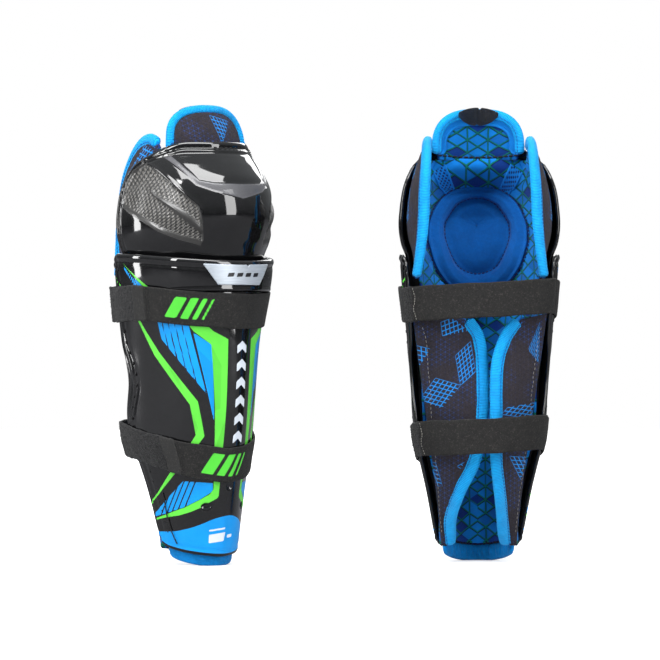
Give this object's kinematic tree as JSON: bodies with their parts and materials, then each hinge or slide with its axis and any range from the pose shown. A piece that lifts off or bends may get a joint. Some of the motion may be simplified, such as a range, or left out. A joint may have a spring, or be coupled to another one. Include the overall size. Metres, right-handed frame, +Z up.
{
  "type": "pair of hockey shin guards",
  "caption": "Pair of junior ice-hockey shin guards: black moulded shin shell and hinged knee cap, blue padded liner, calf wings and two peel-open straps on each.",
  "frame": {"origin": "on the axis of the right leg, level with the lowest point of the front hems; the two guards stand side by side with this point under the right one", "axes": "+Z up the legs, +X from the right guard to the left one, -Y towards the viewer. The right guard's front is turned 37 degrees from -Y towards +X, and the left guard's front points to +Y"},
  "size_m": [0.3403, 0.1454, 0.3469],
  "materials": {
    "black_plastic": "glossy moulded shell",
    "badge_silver": "satin silver plate",
    "blue_knit": "brushed knit liner",
    "blue_binding": "ribbed elastic binding",
    "black_fabric": "printed charcoal knit over thin foam",
    "grey_foam": "closed-cell foam",
    "strap_elastic": "black brushed elastic webbing",
    "loop_pile": "black hook-and-loop pile"
  },
  "bodies": {
    "right_shin": {"right_shin_shell": "black_plastic", "right_shin_foam": "grey_foam", "right_shin_liner": "blue_knit", "right_ankle_hem": "blue_knit", "right_collar_badge": "badge_silver", "right_upper_loop_panel": "loop_pile", "right_lower_loop_panel": "loop_pile", "right_upper_back_strap": "strap_elastic", "right_lower_back_strap": "strap_elastic"},
    "right_knee": {"right_knee_cap": "black_plastic", "right_knee_foam": "grey_foam", "right_knee_liner": "blue_knit", "right_knee_pad": "blue_knit", "right_knee_pad_centre": "blue_knit", "right_knee_wing_lateral": "black_fabric", "right_knee_wing_medial": "black_fabric", "right_knee_wing_binding_lateral": "blue_binding", "right_knee_wing_binding_medial": "blue_binding"},
    "right_thigh_flap": {"right_thigh_flap": "black_fabric", "right_thigh_flap_binding": "blue_binding", "right_side_tag": "black_fabric"},
    "right_calf_wing_lateral": {"right_calf_wing_lateral": "black_fabric", "right_calf_wing_binding_lateral": "blue_binding"},
    "right_calf_wing_medial": {"right_calf_wing_medial": "black_fabric", "right_calf_wing_binding_medial": "blue_binding"},
    "right_upper_front_strap": {"right_upper_front_strap": "strap_elastic", "right_upper_hook_tab": "strap_elastic"},
    "right_lower_front_strap": {"right_lower_front_strap": "strap_elastic", "right_lower_hook_tab": "strap_elastic"},
    "left_shin": {"left_shin_shell": "black_plastic", "left_shin_foam": "grey_foam", "left_shin_liner": "blue_knit", "left_ankle_hem": "blue_knit", "left_collar_badge": "badge_silver", "left_upper_loop_panel": "loop_pile", "left_lower_loop_panel": "loop_pile", "left_upper_back_strap": "strap_elastic", "left_lower_back_strap": "strap_elastic"},
    "left_knee": {"left_knee_cap": "black_plastic", "left_knee_foam": "grey_foam", "left_knee_liner": "blue_knit", "left_knee_pad": "blue_knit", "left_knee_pad_centre": "blue_knit", "left_knee_wing_lateral": "black_fabric", "left_knee_wing_medial": "black_fabric", "left_knee_wing_binding_lateral": "blue_binding", "left_knee_wing_binding_medial": "blue_binding"},
    "left_thigh_flap": {"left_thigh_flap": "black_fabric", "left_thigh_flap_binding": "blue_binding", "left_side_tag": "black_fabric"},
    "left_calf_wing_lateral": {"left_calf_wing_lateral": "black_fabric", "left_calf_wing_binding_lateral": "blue_binding"},
    "left_calf_wing_medial": {"left_calf_wing_medial": "black_fabric", "left_calf_wing_binding_medial": "blue_binding"},
    "left_upper_front_strap": {"left_upper_front_strap": "strap_elastic", "left_upper_hook_tab": "strap_elastic"},
    "left_lower_front_strap": {"left_lower_front_strap": "strap_elastic", "left_lower_hook_tab": "strap_elastic"}
  },
  "joints": [
    {"name": "pair_spacing", "type": "slide", "parent": "right_shin", "child": "left_shin", "axis": [1, 0, 0], "range_m": [0, 0.12]},
    {"name": "right_knee_flex", "type": "hinge", "parent": "right_shin", "child": "right_knee", "pos_m": [-0.0012, 0.0016, 0.227], "axis": [-0.7986, -0.6018, 0], "range_deg": [-4, 12], "stiffness_Nm_per_rad": 2},
    {"name": "right_thigh_flap_fold", "type": "hinge", "parent": "right_knee", "child": "right_thigh_flap", "pos_m": [0.01986, -0.02635, 0.307], "axis": [-0.7986, -0.6018, 0], "range_deg": [-8, 35], "stiffness_Nm_per_rad": 0.2},
    {"name": "right_calf_wing_lateral_flex", "type": "hinge", "parent": "right_shin", "child": "right_calf_wing_lateral", "pos_m": [-0.03235, -0.02187, 0.101], "axis": [0.1754, -0.0166, -0.9844], "range_deg": [0, 12], "stiffness_Nm_per_rad": 0.3},
    {"name": "right_calf_wing_medial_flex", "type": "hinge", "parent": "right_shin", "child": "right_calf_wing_medial", "pos_m": [0.02994, 0.02507, 0.101], "axis": [0.0324, 0.1732, 0.9844], "range_deg": [0, 6], "stiffness_Nm_per_rad": 0.3},
    {"name": "right_upper_strap_peel", "type": "hinge", "parent": "right_shin", "child": "right_upper_front_strap", "pos_m": [0.03714, 0.0453, 0.20182], "axis": [0.0091, 0.0914, 0.9958], "range_deg": [0, 140]},
    {"name": "right_lower_strap_peel", "type": "hinge", "parent": "right_shin", "child": "right_lower_front_strap", "pos_m": [0.03716, 0.03433, 0.09813], "axis": [-0.0556, 0.2422, 0.9686], "range_deg": [0, 140]},
    {"name": "left_knee_flex", "type": "hinge", "parent": "left_shin", "child": "left_knee", "pos_m": [0.222, -0.002, 0.227], "axis": [1, 0, 0], "range_deg": [-4, 12], "stiffness_Nm_per_rad": 2},
    {"name": "left_thigh_flap_fold", "type": "hinge", "parent": "left_knee", "child": "left_thigh_flap", "pos_m": [0.222, 0.033, 0.307], "axis": [1, 0, 0], "range_deg": [-8, 35], "stiffness_Nm_per_rad": 0.2},
    {"name": "left_calf_wing_lateral_flex", "type": "hinge", "parent": "left_shin", "child": "left_calf_wing_lateral", "pos_m": [0.183, -0.002, 0.101], "axis": [-0.1301, -0.1188, 0.9844], "range_deg": [0, 12], "stiffness_Nm_per_rad": 0.3},
    {"name": "left_calf_wing_medial_flex", "type": "hinge", "parent": "left_shin", "child": "left_calf_wing_medial", "pos_m": [0.261, -0.002, 0.101], "axis": [-0.1301, 0.1188, -0.9844], "range_deg": [0, 6], "stiffness_Nm_per_rad": 0.3},
    {"name": "left_upper_strap_peel", "type": "hinge", "parent": "left_shin", "child": "left_upper_front_strap", "pos_m": [0.27892, -0.01382, 0.20182], "axis": [-0.0622, 0.0675, -0.9958], "range_deg": [0, 140]},
    {"name": "left_lower_strap_peel", "type": "hinge", "parent": "left_shin", "child": "left_lower_front_strap", "pos_m": [0.27234, -0.00505, 0.09813], "axis": [-0.1014, 0.2268, -0.9686], "range_deg": [0, 140]}
  ]
}
